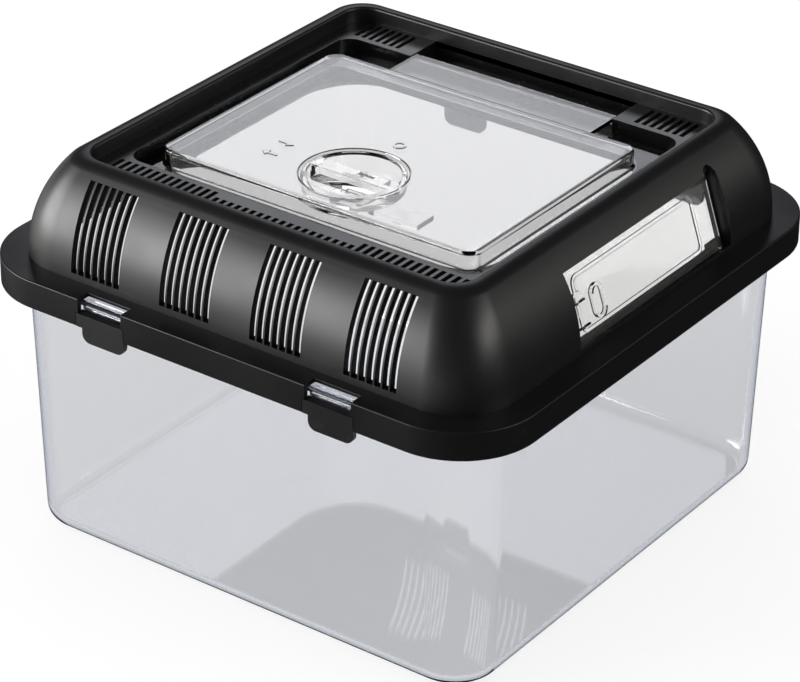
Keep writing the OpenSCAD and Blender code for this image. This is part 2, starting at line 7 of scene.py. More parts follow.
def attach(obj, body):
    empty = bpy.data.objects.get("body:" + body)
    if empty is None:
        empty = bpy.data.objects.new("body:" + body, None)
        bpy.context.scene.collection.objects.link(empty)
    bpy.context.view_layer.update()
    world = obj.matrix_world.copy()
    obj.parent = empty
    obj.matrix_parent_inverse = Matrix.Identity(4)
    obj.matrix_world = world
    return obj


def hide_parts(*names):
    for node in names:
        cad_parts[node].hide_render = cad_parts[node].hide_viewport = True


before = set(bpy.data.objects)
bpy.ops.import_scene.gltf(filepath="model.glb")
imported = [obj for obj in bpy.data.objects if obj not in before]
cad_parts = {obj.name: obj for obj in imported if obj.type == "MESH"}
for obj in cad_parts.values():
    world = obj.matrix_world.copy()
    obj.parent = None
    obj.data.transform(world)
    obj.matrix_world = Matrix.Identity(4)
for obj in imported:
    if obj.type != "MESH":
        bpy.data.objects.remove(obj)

print("pet keeper: frame loaded with", len(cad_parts), "solids")


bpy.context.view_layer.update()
mm = 0.001
past = 1  # how far a cutter reaches past what it cuts
overlap = 0.02  # how far united pieces overlap
nudge = 0.01  # keeps faces that would meet exactly apart
scene = bpy.context.scene


# mesh helpers: everything is given in millimetres and stored in metres

def meshObject(name, verts, faces):
    mesh = bpy.data.meshes.new(name)
    mesh.from_pydata([tuple(c * mm for c in v) for v in verts], [], faces)
    mesh.update()
    obj = bpy.data.objects.new(name, mesh)
    scene.collection.objects.link(obj)
    return obj


def outward(obj):
    work = bmesh.new()
    work.from_mesh(obj.data)
    bmesh.ops.remove_doubles(work, verts=work.verts, dist=0.002 * mm)
    bmesh.ops.dissolve_degenerate(work, edges=work.edges, dist=0.001 * mm)
    bmesh.ops.recalc_face_normals(work, faces=work.faces)
    work.to_mesh(obj.data)
    work.free()
    return obj


def baked(obj):
    bpy.context.view_layer.update()
    graph = bpy.context.evaluated_depsgraph_get()
    mesh = bpy.data.meshes.new_from_object(obj.evaluated_get(graph))
    obj.modifiers.clear()
    obj.data = mesh
    return obj


def carve(obj, tool, how="DIFFERENCE"):
    step = obj.modifiers.new("carve", "BOOLEAN")
    step.operation = how
    step.solver = "EXACT"
    step.material_mode = "TRANSFER"
    step.object = tool
    baked(obj)
    bpy.data.objects.remove(tool)
    return obj


def block(name, low, high, place=None):
    (x0, y0, z0), (x1, y1, z1) = low, high
    verts = [(x, y, z) for z in (z0, z1) for y in (y0, y1) for x in (x0, x1)]
    faces = [(0, 2, 3, 1), (4, 5, 7, 6), (0, 1, 5, 4), (2, 6, 7, 3), (0, 4, 6, 2), (1, 3, 7, 5)]
    obj = meshObject(name, verts, faces)
    if place:
        obj.data.transform(place)
    return obj


def ringPoints(x0, x1, y0, y1, r, steps):
    r = max(r, 0.05)
    points = []
    corners = ((x1 - r, y1 - r, 0), (x0 + r, y1 - r, 90), (x0 + r, y0 + r, 180), (x1 - r, y0 + r, 270))
    for cx, cy, start in corners:
        for k in range(steps + 1):
            a = math.radians(start + 90 * k / steps)
            points.append((cx + r * math.cos(a), cy + r * math.sin(a)))
    return points


def loft(name, rings, loop=False):
    # rings of equal length; a loop joins last to first, otherwise both ends are capped
    count = len(rings[0])
    verts = [p for ring in rings for p in ring]
    faces = []
    for i in range(len(rings) if loop else len(rings) - 1):
        a, b = i * count, ((i + 1) % len(rings)) * count
        for k in range(count):
            n = (k + 1) % count
            faces.append((a + k, a + n, b + n, b + k))
    if not loop:
        faces.append(tuple(range(count - 1, -1, -1)))
        faces.append(tuple(range((len(rings) - 1) * count, len(rings) * count)))
    return outward(meshObject(name, verts, faces))


def roundPlate(name, x0, x1, y0, y1, r, z0, z1, steps=10):
    rings = [[(x, y, z) for x, y in ringPoints(x0, x1, y0, y1, r, steps)] for z in (z0, z1)]
    return loft(name, rings)


def squareLoft(name, profile, steps, loop=True):
    # profile of (half width, height, corner radius)
    rings = [[(x, y, z) for x, y in ringPoints(-u, u, -u, u, r, steps)] for u, z, r in profile]
    return loft(name, rings, loop)


def disc(name, cx, cy, r, z0, z1, steps=64):
    rings = [
        [(cx + r * math.cos(2 * math.pi * k / steps), cy + r * math.sin(2 * math.pi * k / steps), z)
         for k in range(steps)] for z in (z0, z1)
    ]
    return loft(name, rings)


def rod(name, start, end, r, steps=24):
    a, b = Vector(start), Vector(end)
    turn = (b - a).to_track_quat("Z", "Y").to_matrix()
    rings = [
        [tuple(p + turn @ Vector((r * math.cos(t), r * math.sin(t), 0)))
         for t in (2 * math.pi * k / steps for k in range(steps))] for p in (a, b)
    ]
    return loft(name, rings)


def arc(cx, cz, r, start, end, steps):
    out = []
    for k in range(steps + 1):
        a = math.radians(start + (end - start) * k / steps)
        out.append((cx + r * math.cos(a), cz + r * math.sin(a)))
    return out


edgeLook = {"sharpFrom": 40, "weight": 60}


def soften(obj, width, segments=2, angle=32):
    outward(obj)
    step = obj.modifiers.new("edges", "BEVEL")
    step.width = width * mm
    step.segments = segments
    step.limit_method = "ANGLE"
    step.angle_limit = math.radians(angle)
    step.use_clamp_overlap = True
    step.harden_normals = False
    baked(obj)
    shade(obj)
    return obj


def shade(obj):
    obj.data.polygons.foreach_set("use_smooth", [True] * len(obj.data.polygons))
    obj.data.set_sharp_from_angle(angle=math.radians(edgeLook["sharpFrom"]))
    step = obj.modifiers.new("weights", "WEIGHTED_NORMAL")
    step.keep_sharp = True
    step.weight = edgeLook["weight"]
    baked(obj)


# shader helpers

class Sock:
    # wraps an output socket so that shader maths reads as plain expressions
    tree = None

    def __init__(self, socket):
        self.socket = socket

    @classmethod
    def node(cls, kind, settings=None, values=None, out=0):
        made = cls.tree.nodes.new(kind)
        for key, value in (settings or {}).items():
            setattr(made, key, value)
        for key, value in (values or {}).items():
            if isinstance(value, Sock):
                cls.tree.links.new(value.socket, made.inputs[key])
            else:
                made.inputs[key].default_value = value
        return cls(made.outputs[out])

    def maths(self, operation, *others, swap=False):
        items = [self, *others]
        if swap:
            items.reverse()
        return Sock.node("ShaderNodeMath", {"operation": operation}, dict(enumerate(items)))

    def __add__(self, other):
        return self.maths("ADD", other)

    def __radd__(self, other):
        return self.maths("ADD", other)

    def __sub__(self, other):
        return self.maths("SUBTRACT", other)

    def __rsub__(self, other):
        return self.maths("SUBTRACT", other, swap=True)

    def __mul__(self, other):
        return self.maths("MULTIPLY", other)

    def __rmul__(self, other):
        return self.maths("MULTIPLY", other)

    def clipped(self, low, high, outLow, outHigh):
        return Sock.node(
            "ShaderNodeMapRange", {"interpolation_type": "SMOOTHSTEP"},
            {"Value": self, "From Min": low, "From Max": high, "To Min": outLow, "To Max": outHigh},
        )


def newMaterial(name):
    mat = bpy.data.materials.new(name)
    mat.use_nodes = True
    mat.node_tree.nodes.clear()
    Sock.tree = mat.node_tree
    shader = mat.node_tree.nodes.new("ShaderNodeBsdfPrincipled")
    output = mat.node_tree.nodes.new("ShaderNodeOutputMaterial")
    mat.node_tree.links.new(shader.outputs[0], output.inputs["Surface"])
    return mat, shader, output


def feed(shader, name, value):
    if isinstance(value, Sock):
        Sock.tree.links.new(value.socket, shader.inputs[name])
    else:
        shader.inputs[name].default_value = value


def noise(scale, detail):
    place = Sock.node("ShaderNodeTexCoord", out=3)
    return Sock.node("ShaderNodeTexNoise", values={"Vector": place, "Scale": scale, "Detail": detail})


# black moulded plastic: satin, with a fine moulded grain, faint flow marks and a little dust
blackLook = {
    "colour": (0.0045, 0.0045, 0.0047, 1), "paler": (0.012, 0.012, 0.0125, 1), "bend": 1.5,
    "grainScale": 2600, "grainDepth": 0.004, "grain": 0.22, "flowScale": 28, "flowFrom": 0.35, "flowTo": 0.65,
    "dustScale": 420, "dustFrom": 0.62, "dustTo": 0.74, "dustPale": 0.5, "dustDull": 0.05,
    # name: smoothest, roughest, strength of the shine
    "satinBlack": (0.35, 0.42, 0.5), "rimBlack": (0.32, 0.4, 0.3), "latchBlack": (0.36, 0.44, 0.5),
    "deckBlack": (0.22, 0.28, 0.5), "slotBlack": (0.55, 0.65, 0.12),
}


def blackPlastic(name):
    n = blackLook
    gloss, dull, shine = n[name]
    mat, shader, _ = newMaterial(name)
    flow = noise(n["flowScale"], 4).clipped(n["flowFrom"], n["flowTo"], gloss, dull)
    grain = noise(n["grainScale"], 2)
    dust = noise(n["dustScale"], 5).clipped(n["dustFrom"], n["dustTo"], 0.0, 1.0)
    colour = Sock.node(
        "ShaderNodeMix", {"data_type": "RGBA"},
        {"Factor": dust * n["dustPale"], "A": n["colour"], "B": n["paler"]}, out=2,
    )
    feed(shader, "Base Color", colour)
    feed(shader, "Roughness", flow + dust * n["dustDull"])
    bump = Sock.node(
        "ShaderNodeBump", values={"Strength": n["grain"], "Distance": n["grainDepth"] * mm, "Height": grain}
    )
    feed(shader, "Normal", bump)
    feed(shader, "IOR", n["bend"])
    feed(shader, "Specular IOR Level", shine)
    return mat


# clear moulded polystyrene: faint grey-blue, with very slight ripples
clearLook = {
    # name: tint, second tint, ripple, density of the deep colour, how much it bends the light
    "tankClear": ((0.995, 0.978, 0.948, 1), (0.982, 0.966, 0.936, 1), 1.0, 75, 1.49),
    # painted shade: the door's tint is a darker grey than the tank's, to dim the shaded inside of the tank seen
    # through it
    "doorClear": ((0.755, 0.74, 0.72, 1), (0.733, 0.718, 0.698, 1), 0.6, 25, 1.49),
    "lockClear": ((0.965, 0.96, 0.955, 1), (0.945, 0.94, 0.935, 1), 0.6, 0, 1.25),  # as if hollow
    "hatchClear": ((0.93, 0.92, 0.895, 1), (0.905, 0.895, 0.87, 1), 0.6, 0, 1.49),
    "deepColour": (0.2, 0.33, 0.6, 1), "gloss": 0.015, "dull": 0.05, "cloudScale": 16, "cloudMost": 0.35,
    "cloudFrom": 0.3, "cloudTo": 0.7, "smearScale": 260, "smearFrom": 0.5, "smearTo": 0.75, "rippleScale": 22,
    "rippleDepth": 0.05, "ripple": 0.3,
}


def clearPlastic(name):
    n = clearLook
    tint, second, ripple, deep, bend = n[name]
    mat, shader, output = newMaterial(name)
    cloudy = noise(n["cloudScale"], 3).clipped(n["cloudFrom"], n["cloudTo"], 0.0, n["cloudMost"])
    colour = Sock.node("ShaderNodeMix", {"data_type": "RGBA"}, {"Factor": cloudy, "A": tint, "B": second}, out=2)
    feed(shader, "Base Color", colour)
    smear = noise(n["smearScale"], 4).clipped(n["smearFrom"], n["smearTo"], n["gloss"], n["dull"])
    feed(shader, "Roughness", smear)
    bump = Sock.node(
        "ShaderNodeBump",
        values={"Strength": n["ripple"] * ripple, "Distance": n["rippleDepth"] * mm,
                "Height": noise(n["rippleScale"], 1)},
    )
    feed(shader, "Normal", bump)
    feed(shader, "IOR", bend)
    feed(shader, "Transmission Weight", 1.0)
    if deep:
        # thick edges turn dark blue-grey
        inside = Sock.node("ShaderNodeVolumeAbsorption", values={"Color": n["deepColour"], "Density": deep})
        mat.node_tree.links.new(inside.socket, output.inputs["Volume"])
    return mat


blackMat = blackPlastic("satinBlack")
rimMat = blackPlastic("rimBlack")
latchMat = blackPlastic("latchBlack")
deckMat = blackPlastic("deckBlack")
slotMat = blackPlastic("slotBlack")
tankMat = clearPlastic("tankClear")
doorMat = clearPlastic("doorClear")
lockMat = clearPlastic("lockClear")
hatchMat = clearPlastic("hatchClear")
print("pet keeper: finishes made")


def finish(obj, mat, body, replaced=None):
    if not any(obj.data.materials):
        obj.data.materials.clear()
        obj.data.materials.append(mat)
    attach(obj, body)
    if replaced:
        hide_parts(replaced)


# slots: one row of cutters from a small Geometry Nodes tree
def slotTree():
    tree = bpy.data.node_groups.new("slotRow", "GeometryNodeTree")
    face = tree.interface
    face.new_socket("Geometry", in_out="OUTPUT", socket_type="NodeSocketGeometry")
    inputs = {}
    for label, kind in (("Count", "Int"), ("Pitch", "Float"), ("Slot Width", "Float"), ("Length", "Float"),
                        ("Height", "Float"), ("Finish", "Material")):
        inputs[label] = face.new_socket(label, in_out="INPUT", socket_type="NodeSocket" + kind).identifier
    nodes, links = tree.nodes, tree.links
    given = nodes.new("NodeGroupInput")
    result = nodes.new("NodeGroupOutput")
    step = nodes.new("ShaderNodeCombineXYZ")
    links.new(given.outputs["Pitch"], step.inputs["X"])
    size = nodes.new("ShaderNodeCombineXYZ")
    for label, axis in (("Slot Width", "X"), ("Length", "Y"), ("Height", "Z")):
        links.new(given.outputs[label], size.inputs[axis])
    line = nodes.new("GeometryNodeMeshLine")
    links.new(given.outputs["Count"], line.inputs["Count"])
    links.new(step.outputs[0], line.inputs["Offset"])
    cube = nodes.new("GeometryNodeMeshCube")
    links.new(size.outputs[0], cube.inputs["Size"])
    place = nodes.new("GeometryNodeInstanceOnPoints")
    links.new(line.outputs["Mesh"], place.inputs["Points"])
    links.new(cube.outputs["Mesh"], place.inputs["Instance"])
    real = nodes.new("GeometryNodeRealizeInstances")
    links.new(place.outputs["Instances"], real.inputs["Geometry"])
    paint = nodes.new("GeometryNodeSetMaterial")
    links.new(real.outputs["Geometry"], paint.inputs["Geometry"])
    links.new(given.outputs["Finish"], paint.inputs["Material"])
    links.new(paint.outputs["Geometry"], result.inputs["Geometry"])
    return tree, inputs


slotNodes, slotInputs = slotTree()


def slotRow(name, count, pitch, width, first, y0, y1, z0, z1):
    # first is the middle of the row's first slot
    obj = meshObject(name, [(0, 0, 0)], [])
    step = obj.modifiers.new("slots", "NODES")
    step.node_group = slotNodes
    values = {"Count": count, "Pitch": pitch * mm, "Slot Width": width * mm, "Length": (y1 - y0) * mm,
              "Height": (z1 - z0) * mm, "Finish": slotMat}
    for label, value in values.items():
        step[slotInputs[label]] = value
    baked(obj)
    obj.data.transform(Matrix.Translation(Vector((first, (y0 + y1) / 2, (z0 + z1) / 2)) * mm))
    return obj


# lid rim: the skirt and the flat ledge that rests on the tank's flange
rimLook = {
    "half": 102.5, "corner": 28, "foot": 91, "top": 101, "skirt": 1.8, "ledge": 1.7, "edge": 0.5,
    "inner": 91.5, "innerCorner": 19.5, "bevel": 0.22,
}
latchLook = {
    "x": 45.3, "width": 19.3, "window": 17.5, "bandTop": 95.7, "gap": 0.12, "hookIn": 4.0, "hookThick": 1.5,
    "tabSet": 1.5, "tabThick": 1.8, "tabDrop": 6, "tabIn": 1, "tabCorner": 3, "catchIn": 2.0, "catchWidth": 16.8,
    "catchLong": 3.1, "catchTop": 100.1, "catchHeight": 3.5, "tabBury": 0.3, "bevel": 0.3,
}


def mirroredFour(make):
    # one tool copied to the front right, front left, back left and back right
    turns = (Matrix.Identity(4), Matrix.Scale(-1, 4, (1, 0, 0)), Matrix.Rotation(math.pi, 4, "Z"),
             Matrix.Rotation(math.pi, 4, "Z") @ Matrix.Scale(-1, 4, (1, 0, 0)))
    out = []
    for turn in turns:
        obj = make()
        obj.data.transform(turn)
        outward(obj)
        out.append(obj)
    return out


def latchWindow():
    n = latchLook
    y = -rimLook["half"]
    return block(
        "window", (n["x"] - n["window"] / 2, y - past, n["bandTop"]),
        (n["x"] + n["window"] / 2, y + n["catchIn"] + n["catchLong"] + n["gap"], rimLook["top"] + past),
    )


def latchSlot():
    n = latchLook
    y = -rimLook["half"]
    half = n["width"] / 2 + n["gap"]
    return block(
        "slot", (n["x"] - half, y - past, rimLook["foot"] - past),
        (n["x"] + half, y + n["hookIn"] + n["gap"], n["bandTop"] + n["gap"]),
    )


def makeRim():
    n = rimLook
    corner = n["half"] - n["corner"]
    edge = arc(n["half"] - n["edge"], n["top"] - n["edge"], n["edge"], 0, 90, 5)
    skirtIn = n["half"] - n["skirt"]
    under = n["top"] - n["ledge"]
    profile = [(n["half"], n["foot"], n["corner"])]
    profile += [(u, z, u - corner) for u, z in edge]
    profile += [(n["inner"], n["top"], n["innerCorner"]), (n["inner"], under, n["innerCorner"])]
    profile += [(skirtIn, under, skirtIn - corner), (skirtIn, n["foot"], skirtIn - corner)]
    rim = squareLoft("lidRim", profile, 20)
    for tool in mirroredFour(latchWindow) + mirroredFour(latchSlot):
        carve(rim, tool)
    return soften(rim, n["bevel"], 2)


rim = makeRim()
print("pet keeper: rim", len(rim.data.polygons))

# lid hood: curved sides, rounded crest and the inner wall of the crest
hoodLook = {
    "foot": 100.2, "curveX": 46.05, "curveZ": 101.25, "curveR": 47.45, "crestX": 76.2, "crestZ": 128.8,
    "crestR": 6.63, "wall": 2.6, "ringHalf": 74.8, "ringCorner": 8.4, "ringFillet": 0.9, "deckUnder": 128,
    "footCorner": 20.5, "crestCorner": 8.6, "cornerFrom": 94, "ringWall": 1.7, "crestUnder": 0.6, "crestTurn": 80,
    "skinIn": 0.3, "bevel": 0.24,
}
hoodSteps = {"curve": 22, "crest": 10, "corner": 20}


def hoodProfile(n):
    turn = math.degrees(math.atan2(n["crestZ"] - n["curveZ"], n["crestX"] - n["curveX"]))
    low = math.degrees(math.asin((n["foot"] - n["curveZ"]) / n["curveR"]))

    def corner(u):
        t = min(max((n["cornerFrom"] - u) / (n["cornerFrom"] - n["crestX"]), 0), 1)
        return n["footCorner"] + (n["crestCorner"] - n["footCorner"]) * t

    outer = arc(n["curveX"], n["curveZ"], n["curveR"], low, turn, hoodSteps["curve"])
    outer += arc(n["crestX"], n["crestZ"], n["crestR"], turn, 90, hoodSteps["crest"])[1:]
    profile = [(u, z, corner(u)) for u, z in outer]
    top = n["crestZ"] + n["crestR"]
    fillet = arc(n["ringHalf"] + n["ringFillet"], top - n["ringFillet"], n["ringFillet"], 90, 180, 4)
    profile += [(u, z, n["ringCorner"] + (u - n["ringHalf"])) for u, z in fillet]
    profile.append((n["ringHalf"], n["deckUnder"], n["ringCorner"]))
    ringOut, cornerOut = n["ringHalf"] + n["ringWall"], n["ringCorner"] + n["ringWall"]
    profile.append((ringOut, n["deckUnder"], cornerOut))
    profile.append((ringOut, top - n["wall"] - n["crestUnder"], cornerOut))
    inner = arc(n["crestX"], n["crestZ"], n["crestR"] - n["wall"], n["crestTurn"], turn, 5)
    inner += arc(n["curveX"], n["curveZ"], n["curveR"] - n["wall"], turn, low, 18)[1:]
    profile += [(u, z, max(corner(u + n["wall"]) - n["wall"], 1)) for u, z in inner]
    return profile


ventLook = {
    "groups": (-54.45, -18.05, 18.05, 54.45), "count": 7, "pitch": 2.93, "width": 2.3, "foot": 103.4, "height": 28.6,
    "reachIn": 78.4,
}
hatchLook = {
    "lean": 18.7, "x": 92.1, "z": 102.3, "y0": -36.4, "y1": 52.4, "low": -0.4, "height": 26.2, "floor": -2.0,
    "wall": 1.8, "lip": 1.9, "pinY": 49.0, "pinR": 0.75, "pinLong": 1.5, "pinUp": 1.1, "thick": 1.6,
    "pocketZ": 25.8, "pocketR": 2.8, "bossTop": 3, "bossFoot": 3.4, "bossLong": 5.3, "bossDeep": 4, "snapFoot": 5.2,
    "snapWide": 7.6, "snapIn": 0.9, "snapGap": 0.3, "pinGap": 0.06, "outside": 12, "farOut": 20, "inside": 30,
    "farIn": 40,
}
hatchPlace = (
    Matrix.Translation(Vector((hatchLook["x"], 0, hatchLook["z"])) * mm)
    @ Matrix.Rotation(-math.radians(hatchLook["lean"]), 4, "Y")
)


def hatchBlock(name, low, high):
    return block(name, low, high, hatchPlace)


def hoodSkin(profile):
    # the hood's outside, drawn in a little and filled
    n = hoodLook
    outside = profile[:hoodSteps["curve"] + hoodSteps["crest"] + 1]
    return squareLoft(
        "skin", [(u - n["skinIn"], z, max(r - n["skinIn"], 1)) for u, z, r in outside], hoodSteps["corner"], loop=False
    )


def hatchRod(name, start, end, r, steps=24):
    tool = rod(name, start, end, r, steps)
    tool.data.transform(hatchPlace)
    return tool


def makeRecess(hood, profile):
    h = hatchLook
    low, top = h["low"], h["low"] + h["height"]
    w, lip, floor = h["wall"], h["lip"], h["floor"]
    pinY, pocketZ = h["pinY"], h["pocketZ"]
    # walls of the recess and of the round pocket, trimmed just inside the hood's skin
    walls = hatchBlock("walls", (floor - w, h["y0"] - w, low - w), (h["outside"], h["y1"] + w, top + w))
    boss = hatchRod("boss", (floor, pinY, pocketZ), (floor + h["bossDeep"], pinY, pocketZ), h["pocketR"] + w, 40)
    for piece in (walls, boss):
        carve(piece, hoodSkin(profile), "INTERSECT")
        carve(hood, outward(piece), "UNION")
    carve(hood, hatchBlock("recess", (floor, h["y0"], low), (h["farOut"], h["y1"], top)))
    # the way into the hood stops short of the pin's seats
    way = hatchBlock(
        "way", (floor - h["inside"], h["y0"] + lip, low + lip), (floor + past, h["y1"] - lip, top - lip)
    )
    for z0, z1 in ((top - h["bossTop"], top), (low, low + h["bossFoot"])):
        carve(way, hatchBlock(
            "seat", (floor - h["farIn"], pinY - h["bossLong"], z0), (floor + 2 * past, h["y1"], z1)
        ))
    carve(hood, way)
    axis = -h["thick"] / 2
    carve(hood, hatchRod(
        "pocket", (axis + h["pinR"] / 2, pinY, pocketZ), (h["outside"], pinY, pocketZ), h["pocketR"], 40
    ))
    carve(hood, hatchRod(
        "socket", (axis, pinY, low - h["pinLong"]), (axis, pinY, top + h["pinLong"] + h["pinUp"]),
        h["pinR"] + h["pinGap"],
    ))
    carve(hood, hatchBlock(
        "groove", (-h["thick"] - h["snapGap"], h["y0"] - h["snapIn"], h["snapFoot"]),
        (h["snapGap"], h["y0"] + past, h["snapFoot"] + h["snapWide"]),
    ))


def makeHood():
    n, v = hoodLook, ventLook
    profile = hoodProfile(n)
    hood = squareLoft("lidHood", profile, hoodSteps["corner"])
    hood.data.materials.append(blackMat)
    makeRecess(hood, profile)
    for group in v["groups"]:
        first = group - v["pitch"] * (v["count"] - 1) / 2
        for y0, y1 in ((-rimLook["half"], -v["reachIn"]), (v["reachIn"], rimLook["half"])):
            carve(hood, slotRow(
                "slots", v["count"], v["pitch"], v["width"], first, y0, y1, v["foot"], v["foot"] + v["height"]
            ))
    return soften(hood, n["bevel"], 2, 38)


hood = makeHood()
print("pet keeper: hood", len(hood.data.polygons))

# vented deck, door well, ledge, collar and the notch for the door's hinge
deckLook = {
    "z": 130, "thick": 2, "edgeOver": 0.8, "wellX": 69, "wellY": 59.6, "wellR": 6, "ledge": 124.5, "wall": 1.6,
    "mouthX": 64, "mouthY0": -52, "mouthY1": 49.4, "mouthR": 14, "collar": 4.9, "notch": 41.4, "hingeY": 62.5,
    "hingeZ": 128.2, "gapX": (-24.5, 23.5), "cutFrom": 110, "bevel": 0.2,
    "slotPitch": 2.965, "slots": 47, "shortSlots": 19, "long": 11.8, "short": 8.8, "slotWidth": 1.75,
    "slotFront": -73.3, "backGroup": 57.85, "backSlots": 7, "backShorter": 0.4,
    # how far the tops of the united pieces lie below what covers them, each at its own height
    "shaftUnder": 0.4, "notchUnder": 0.2, "collarUnder": 0.7,
}


def makeDeck():
    n, h = deckLook, hoodLook
    w, z, ledge = n["wall"], n["z"], n["ledge"]
    edge = h["ringHalf"] + n["edgeOver"]
    under = z - n["thick"]
    deck = roundPlate("lidDeck", -edge, edge, -edge, edge, h["ringCorner"], under, z, 14)
    deck.data.materials.append(deckMat)
    shaft = roundPlate(
        "shaft", -n["wellX"] - w, n["wellX"] + w, -n["wellY"] - w, n["wellY"] + w, n["wellR"] + w, ledge - w,
        z - n["shaftUnder"],
    )
    carve(deck, shaft, "UNION")
    carve(deck, block(
        "notch", (-n["notch"] - w, 0, ledge - w), (n["notch"] + w, h["ringHalf"] + w, z - n["notchUnder"])
    ), "UNION")
    collar = roundPlate(
        "collar", -n["mouthX"] - w, n["mouthX"] + w, n["mouthY0"] - w, n["mouthY1"] + w, n["mouthR"] + w,
        ledge - n["collar"], ledge - n["collarUnder"], 14,
    )
    carve(deck, collar, "UNION")
    carve(deck, roundPlate("well", -n["wellX"], n["wellX"], -n["wellY"], n["wellY"], n["wellR"], ledge, z + past))
    carve(deck, block("notch", (-n["notch"], 0, ledge + overlap), (n["notch"], h["ringHalf"], z + past)))
    carve(deck, roundPlate(
        "mouth", -n["mouthX"], n["mouthX"], n["mouthY0"], n["mouthY1"], n["mouthR"], n["cutFrom"], ledge + past, 14
    ))
    gap0, gap1 = n["gapX"]
    carve(deck, block(
        "gap", (gap0, n["mouthY0"] - w - past, n["cutFrom"]), (gap1, n["mouthY0"] + past, ledge - w)
    ))
    front, pitch, width = n["slotFront"], n["slotPitch"], n["slotWidth"]
    side = (n["slots"] - n["shortSlots"]) // 2
    rows = (
        (side, -(n["slots"] - 1) / 2, n["long"]),
        (n["shortSlots"], -(n["shortSlots"] - 1) / 2, n["short"]),
        (side, (n["shortSlots"] + 1) / 2, n["long"]),
    )
    for count, start, length in rows:
        carve(deck, slotRow(
            "slots", count, pitch, width, start * pitch, front, front + length, under - past, z + past
        ))
    count, pitch = n["backSlots"], ventLook["pitch"]
    for way in (-1, 1):
        first = way * n["backGroup"] - (count - 1) / 2 * pitch
        carve(deck, slotRow(
            "slots", count, pitch, width, first, -front - n["long"] + n["backShorter"], -front, under - past, z + past
        ))
    return soften(deck, n["bevel"], 2, 38)


deck = makeDeck()
print("pet keeper: deck", len(deck.data.polygons))
finish(hood, blackMat, "lid", "lid")
finish(rim, rimMat, "lid")
finish(deck, deckMat, "lid")


# latches: band of skirt, finger tab and hook
def makeLatch():
    n = latchLook
    y = -rimLook["half"]
    foot = rimLook["foot"]
    x0, x1 = n["x"] - n["width"] / 2, n["x"] + n["width"] / 2
    tabY = y + n["tabSet"]
    band = block("latch", (x0, y, foot), (x1, tabY + n["tabThick"], n["bandTop"]))
    tab = roundPlate(
        "tab", x0 + n["tabIn"], x1 - n["tabIn"], foot - n["tabDrop"], n["bandTop"] - n["tabBury"], n["tabCorner"],
        0, n["tabThick"], 6,
    )
    upright = Matrix.Rotation(math.pi / 2, 4, "X")
    upright.translation = Vector((0, tabY + n["tabThick"] - overlap, 0)) * mm
    tab.data.transform(upright)
    carve(band, outward(tab), "UNION")
    hook = block(
        "hook", (n["x"] - n["window"] / 2, tabY, n["bandTop"] - n["hookThick"]),
        (n["x"] + n["window"] / 2, y + n["hookIn"], n["bandTop"] - overlap),
    )
    carve(band, hook, "UNION")
    return band


latchNames = ("latch_front_right", "latch_front_left", "latch_back_left", "latch_back_right")
for name, latch in zip(latchNames, mirroredFour(makeLatch)):
    latch.name = "".join(part.capitalize() if i else part for i, part in enumerate(name.split("_")))
    soften(latch, latchLook["bevel"], 3)
    finish(latch, latchMat, name, name)
print("pet keeper: latches")

# clear tank
tankLook = {
    "floorHalf": 90.6, "lean": 0.02775, "height": 99.3, "wall": 2, "corner": 74.6, "foot": 5.5, "flange": 2,
    "flangeHalf": 99.8, "middle": 50, "bevel": 0.35,
}


def makeTank():
    n = tankLook
    turn = math.atan(n["lean"])

    def side(half, z0, r, steps):
        # foot arc then the leaning wall
        cx = half + n["lean"] * (z0 + r) - r / math.cos(turn)
        return arc(cx, z0 + r, r, -90, -math.degrees(turn), steps)

    def wallAt(half, z):
        return half + n["lean"] * z

    middle, under = n["middle"], n["height"] - n["flange"]
    half, inHalf = n["floorHalf"], n["floorHalf"] - n["wall"]
    outer = side(half, 0, n["foot"], 8)
    inner = side(inHalf, n["wall"], n["foot"] - n["wall"], 6)
    line = outer + [(wallAt(half, middle), middle), (wallAt(half, under), under)]
    line += [(n["flangeHalf"], under), (n["flangeHalf"], n["height"])]
    line += [(wallAt(inHalf, n["height"]), n["height"]), (wallAt(inHalf, middle), middle)] + inner[::-1]
    tank = squareLoft("tankShell", [(u, z, u - n["corner"]) for u, z in line], 16, loop=False)
    for tool in mirroredFour(makeCatch):
        carve(tank, tool, "UNION")
    return soften(tank, n["bevel"], 3, 40)


def makeCatch():
    n = latchLook
    y = -rimLook["half"] + n["catchIn"]
    return block(
        "catch", (n["x"] - n["catchWidth"] / 2, y, n["catchTop"] - n["catchHeight"]),
        (n["x"] + n["catchWidth"] / 2, y + n["catchLong"], n["catchTop"]),
    )


tank = makeTank()
finish(tank, tankMat, "tank", "tank")
print("pet keeper: tank", len(tank.data.polygons))

# clear top door: a shallow tray turned over, with a flange and a hinge tab
doorLook = {
    "x": 62.5, "y0": -51, "y1": 43.6, "top": 132, "thick": 1.8, "flangeX": 68, "flangeY0": -57, "flangeY1": 54.5,
    "flangeThick": 1.5, "flangeCorner": 5, "corner": 5, "edge": 1.0, "foot": 0.8, "tab": 41, "tabIn": 0.9,
    "tabThick": 1.5, "barrel": 1.6, "pin": 1.0, "pinEnd": 42.7, "bevel": 0.25, "markUp": 0.35, "ringAt": (-0.5, -2.9),
    "ringOut": 2.25, "ringIn": 1.5, "ringBury": 0.3, "dip": 0.1, "innerUp": 0.8, "innerIn": 0.5, "holeDeep": 4,
    "barrelOver": 0.05, "arrows": ((-30.9, -23.7, 1), (-30.9, -32.7, -1)), "arrowBury": 0.2,
    "arrow": ((-3, -0.4), (0.6, -0.4), (0.6, -1.6), (3, 0), (0.6, 1.6), (0.6, 0.4), (-3, 0.4)),
}
